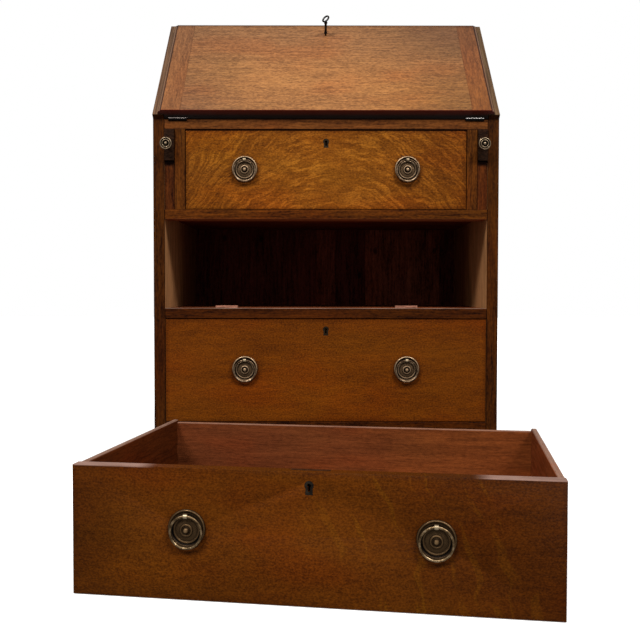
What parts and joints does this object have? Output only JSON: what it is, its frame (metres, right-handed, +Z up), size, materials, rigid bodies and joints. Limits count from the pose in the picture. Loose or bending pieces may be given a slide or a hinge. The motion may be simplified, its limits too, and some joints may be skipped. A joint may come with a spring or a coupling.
{
  "type": "writing bureau",
  "caption": "Slant-front oak bureau with a hinged fall on pull-out lopers, sliding drawers with ring handles, pigeonholes, and a drawer taken out in front.",
  "frame": {"origin": "on the floor, at the middle of the footprint of the bureau with its second drawer standing in front", "axes": "+Z up, +Y from the front to the back of the bureau, +X to the right seen from the front"},
  "size_m": [0.716, 1.122, 1.0049],
  "materials": {
    "back_board": "dark unfinished board",
    "brass": "aged, dark in the hollows",
    "drawer_lining": "dry reddish wood",
    "lock_brass": "aged",
    "loper_dark": "nearly black oak",
    "oak_carcass": "waxed, darkened oak",
    "oak_drawer_front": "waxed figured oak",
    "oak_fall": "waxed oak",
    "steel": "dull, worn",
    "stop_block": "bare pale wood"
  },
  "bodies": {
    "carcass": {"side_left": "oak_carcass", "side_right": "oak_carcass", "top_board": "oak_carcass", "desk_board": "oak_carcass", "rail_upper": "oak_carcass", "rail_lower": "oak_carcass", "dust_boards": "back_board", "bottom_board": "oak_carcass", "back_boards": "back_board", "loper_partition_left": "oak_carcass", "loper_partition_right": "oak_carcass", "loper_fillers": "oak_carcass", "drawer_stops": "stop_block", "base_moulding": "oak_carcass", "front_feet": "oak_carcass", "rear_feet": "oak_carcass", "pigeonhole_shelf": "drawer_lining", "pigeonhole_dividers": "drawer_lining", "desk_hinges": "steel"},
    "fall": {"fall_panel": "oak_fall", "fall_cleat_left": "oak_fall", "fall_cleat_right": "oak_fall", "fall_hinge_leaves": "steel", "fall_lock": "steel"},
    "fall_bolt": {"fall_bolt": "steel"},
    "key": {"key": "steel"},
    "loper_left": {"loper_left": "loper_dark", "loper_knob_left": "brass"},
    "loper_right": {"loper_right": "loper_dark", "loper_knob_right": "brass"},
    "top_drawer": {"top_drawer_front": "oak_drawer_front", "top_drawer_side_left": "drawer_lining", "top_drawer_side_right": "drawer_lining", "top_drawer_back": "drawer_lining", "top_drawer_bottom": "drawer_lining", "top_drawer_handle_plates": "brass", "top_drawer_lock": "lock_brass"},
    "top_drawer_ring_left": {"top_drawer_ring_left": "brass"},
    "top_drawer_ring_right": {"top_drawer_ring_right": "brass"},
    "top_drawer_bolt": {"top_drawer_bolt": "lock_brass"},
    "second_drawer": {"second_drawer_front": "oak_drawer_front", "second_drawer_side_left": "drawer_lining", "second_drawer_side_right": "drawer_lining", "second_drawer_back": "drawer_lining", "second_drawer_bottom": "drawer_lining", "second_drawer_handle_plates": "brass", "second_drawer_lock": "lock_brass"},
    "second_drawer_ring_left": {"second_drawer_ring_left": "brass"},
    "second_drawer_ring_right": {"second_drawer_ring_right": "brass"},
    "second_drawer_bolt": {"second_drawer_bolt": "lock_brass"},
    "third_drawer": {"third_drawer_front": "oak_drawer_front", "third_drawer_side_left": "drawer_lining", "third_drawer_side_right": "drawer_lining", "third_drawer_back": "drawer_lining", "third_drawer_bottom": "drawer_lining", "third_drawer_handle_plates": "brass", "third_drawer_lock": "lock_brass"},
    "third_drawer_ring_left": {"third_drawer_ring_left": "brass"},
    "third_drawer_ring_right": {"third_drawer_ring_right": "brass"},
    "third_drawer_bolt": {"third_drawer_bolt": "lock_brass"}
  },
  "joints": [
    {"name": "fall_hinge", "type": "hinge", "parent": "carcass", "child": "fall", "pos_m": [0, 0.12095, 0.751], "axis": [1, 0, 0], "range_deg": [0, 133.2]},
    {"name": "key_turn", "type": "hinge", "parent": "fall", "child": "key", "pos_m": [0, 0.30179, 0.97352], "axis": [0, -0.729, 0.6845], "range_deg": [0, 180]},
    {"name": "fall_bolt_slide", "type": "slide", "parent": "fall", "child": "fall_bolt", "axis": [0, 0.6845, 0.729], "range_m": [0, 0.007]},
    {"name": "loper_left_slide", "type": "slide", "parent": "carcass", "child": "loper_left", "axis": [0, -1, 0], "range_m": [0, 0.25]},
    {"name": "loper_right_slide", "type": "slide", "parent": "carcass", "child": "loper_right", "axis": [0, -1, 0], "range_m": [0, 0.25]},
    {"name": "top_drawer_slide", "type": "slide", "parent": "carcass", "child": "top_drawer", "axis": [0, -1, 0], "range_m": [0, 0.35]},
    {"name": "third_drawer_slide", "type": "slide", "parent": "carcass", "child": "third_drawer", "axis": [0, -1, 0], "range_m": [0, 0.15]},
    {"name": "second_drawer_lift", "type": "slide", "parent": "carcass", "child": "second_drawer", "axis": [0, 0, 1], "range_m": [0, 0.374]},
    {"name": "top_drawer_ring_left_swing", "type": "hinge", "parent": "top_drawer", "child": "top_drawer_ring_left", "pos_m": [-0.1625, 0.11495, 0.6695], "axis": [-1, 0, 0], "range_deg": [0, 170]},
    {"name": "top_drawer_ring_right_swing", "type": "hinge", "parent": "top_drawer", "child": "top_drawer_ring_right", "pos_m": [0.1625, 0.11495, 0.6695], "axis": [-1, 0, 0], "range_deg": [0, 170]},
    {"name": "top_drawer_bolt_slide", "type": "slide", "parent": "top_drawer", "child": "top_drawer_bolt", "axis": [0, 0, 1], "range_m": [0, 0.008]},
    {"name": "second_drawer_ring_left_swing", "type": "hinge", "parent": "second_drawer", "child": "second_drawer_ring_left", "pos_m": [-0.18743, -0.49159, 0.1136], "axis": [-0.9876, 0.1568, 0], "range_deg": [0, 170]},
    {"name": "second_drawer_ring_right_swing", "type": "hinge", "parent": "second_drawer", "child": "second_drawer_ring_right", "pos_m": [0.13356, -0.54254, 0.1136], "axis": [-0.9876, 0.1568, 0], "range_deg": [0, 170]},
    {"name": "second_drawer_bolt_slide", "type": "slide", "parent": "second_drawer", "child": "second_drawer_bolt", "axis": [0, 0, 1], "range_m": [0, 0.008]},
    {"name": "third_drawer_ring_left_swing", "type": "hinge", "parent": "third_drawer", "child": "third_drawer_ring_left", "pos_m": [-0.1625, 0.11495, 0.26955], "axis": [-1, 0, 0], "range_deg": [0, 170]},
    {"name": "third_drawer_ring_right_swing", "type": "hinge", "parent": "third_drawer", "child": "third_drawer_ring_right", "pos_m": [0.1625, 0.11495, 0.26955], "axis": [-1, 0, 0], "range_deg": [0, 170]},
    {"name": "third_drawer_bolt_slide", "type": "slide", "parent": "third_drawer", "child": "third_drawer_bolt", "axis": [0, 0, 1], "range_m": [0, 0.008]}
  ],
  "couplings": [
    {"joint": "fall_bolt_slide", "follows": "key_turn", "m_per_rad": 0.0022282}
  ]
}
